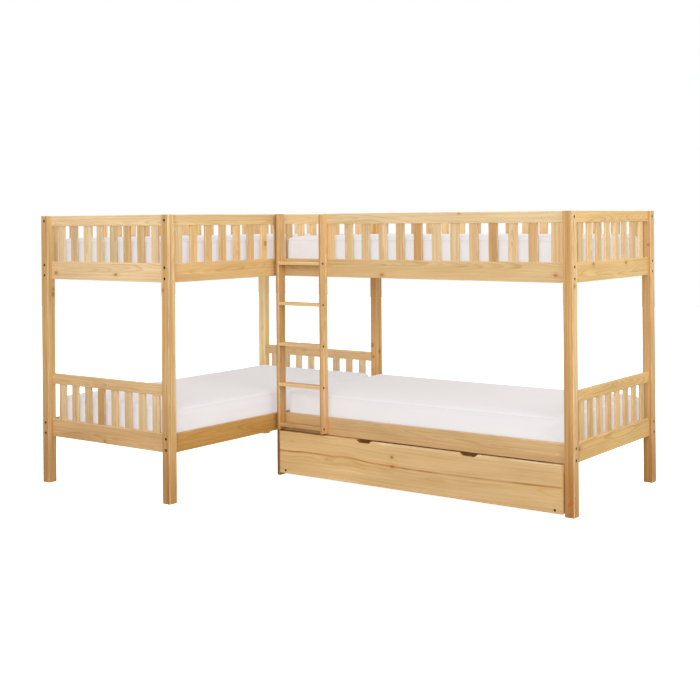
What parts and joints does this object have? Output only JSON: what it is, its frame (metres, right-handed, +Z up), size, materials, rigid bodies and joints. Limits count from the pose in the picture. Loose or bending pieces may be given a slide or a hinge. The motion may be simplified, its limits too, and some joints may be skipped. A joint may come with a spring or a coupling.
{
  "type": "l shaped bunk bed",
  "caption": "L shaped wooden bunk bed with upper and lower beds at a right angle, slatted guards, a corner ladder, white mattresses and a pull-out trundle.",
  "frame": {"origin": "on the floor, under the middle of the bed's bounding box", "axes": "+X along the right wing towards its free end, +Y towards the backs of both wings, +Z up"},
  "size_m": [3.06, 2.024, 1.6],
  "materials": {
    "pine_posts": "oiled solid pine, clear satin, with knots",
    "pine_rails": "oiled solid pine, clear satin, with knots",
    "pine_slats": "planed pine, clear satin",
    "pine_ladder": "oiled solid pine, clear satin",
    "pine_trundle": "oiled solid pine, clear satin, with knots",
    "mattress_fabric": "matt white woven ticking",
    "wheel_plastic": "matt black",
    "dark_steel": "dull zinc"
  },
  "bodies": {
    "frame": {"post_left_front_outer": "pine_posts", "post_left_front_inner": "pine_posts", "post_left_back_outer": "pine_posts", "post_left_back_inner": "pine_posts", "post_right_front": "pine_posts", "post_right_back": "pine_posts", "corner_support": "pine_rails", "left_upper_outer_rail": "pine_rails", "left_upper_inner_rail": "pine_rails", "left_lower_outer_rail": "pine_rails", "left_lower_inner_rail": "pine_rails", "right_upper_front_rail": "pine_rails", "right_upper_back_rail": "pine_rails", "right_lower_front_rail": "pine_rails", "right_lower_back_rail": "pine_rails", "left_outer_guard_rail": "pine_rails", "left_inner_guard_rail": "pine_rails", "right_front_guard_rail": "pine_rails", "right_back_guard_rail": "pine_rails", "left_outer_guard_slats": "pine_slats", "left_inner_guard_slats": "pine_slats", "right_front_guard_slats": "pine_slats", "right_back_guard_slats": "pine_slats", "guard_end_boards": "pine_slats", "left_front_panel_rails": "pine_rails", "left_back_panel_rails": "pine_rails", "right_end_panel_rails": "pine_rails", "left_front_upper_slats": "pine_slats", "left_front_lower_slats": "pine_slats", "left_back_upper_slats": "pine_slats", "left_back_lower_slats": "pine_slats", "right_end_upper_slats": "pine_slats", "right_end_lower_slats": "pine_slats", "slat_ledgers": "pine_slats", "left_upper_bed_slats": "pine_slats", "left_lower_bed_slats": "pine_slats", "right_upper_bed_slats": "pine_slats", "right_lower_bed_slats": "pine_slats", "ladder_left_stile": "pine_ladder", "ladder_right_stile": "pine_ladder", "ladder_rungs": "pine_ladder", "left_upper_mattress": "mattress_fabric", "left_lower_mattress": "mattress_fabric", "right_upper_mattress": "mattress_fabric", "right_lower_mattress": "mattress_fabric", "bed_bolts": "dark_steel", "barrel_nuts": "dark_steel", "wood_screws": "dark_steel"},
    "trundle": {"trundle_front": "pine_trundle", "trundle_back": "pine_trundle", "trundle_sides": "pine_trundle", "trundle_battens": "pine_trundle", "trundle_dowels": "pine_trundle", "trundle_slats": "pine_slats", "trundle_axles": "dark_steel", "trundle_screws": "dark_steel"},
    "wheel_front_left": {"trundle_wheel_front_left": "wheel_plastic"},
    "wheel_front_right": {"trundle_wheel_front_right": "wheel_plastic"},
    "wheel_back_left": {"trundle_wheel_back_left": "wheel_plastic"},
    "wheel_back_right": {"trundle_wheel_back_right": "wheel_plastic"}
  },
  "joints": [
    {"name": "trundle_slide", "type": "slide", "parent": "frame", "child": "trundle", "axis": [0, -1, 0], "range_m": [0, 0.6]},
    {"name": "wheel_front_left_spin", "type": "hinge", "parent": "trundle", "child": "wheel_front_left", "pos_m": [-0.1455, 0.011, 0.03], "axis": [1, 0, 0], "range_deg": [0, 1146]},
    {"name": "wheel_front_right_spin", "type": "hinge", "parent": "trundle", "child": "wheel_front_right", "pos_m": [1.1675, 0.011, 0.03], "axis": [1, 0, 0], "range_deg": [0, 1146]},
    {"name": "wheel_back_left_spin", "type": "hinge", "parent": "trundle", "child": "wheel_back_left", "pos_m": [-0.1455, 0.521, 0.03], "axis": [1, 0, 0], "range_deg": [0, 1146]},
    {"name": "wheel_back_right_spin", "type": "hinge", "parent": "trundle", "child": "wheel_back_right", "pos_m": [1.1675, 0.521, 0.03], "axis": [1, 0, 0], "range_deg": [0, 1146]}
  ],
  "couplings": [
    {"joint": "wheel_front_left_spin", "follows": "trundle_slide", "rad_per_m": 33.333},
    {"joint": "wheel_front_right_spin", "follows": "trundle_slide", "rad_per_m": 33.333},
    {"joint": "wheel_back_left_spin", "follows": "trundle_slide", "rad_per_m": 33.333},
    {"joint": "wheel_back_right_spin", "follows": "trundle_slide", "rad_per_m": 33.333}
  ]
}
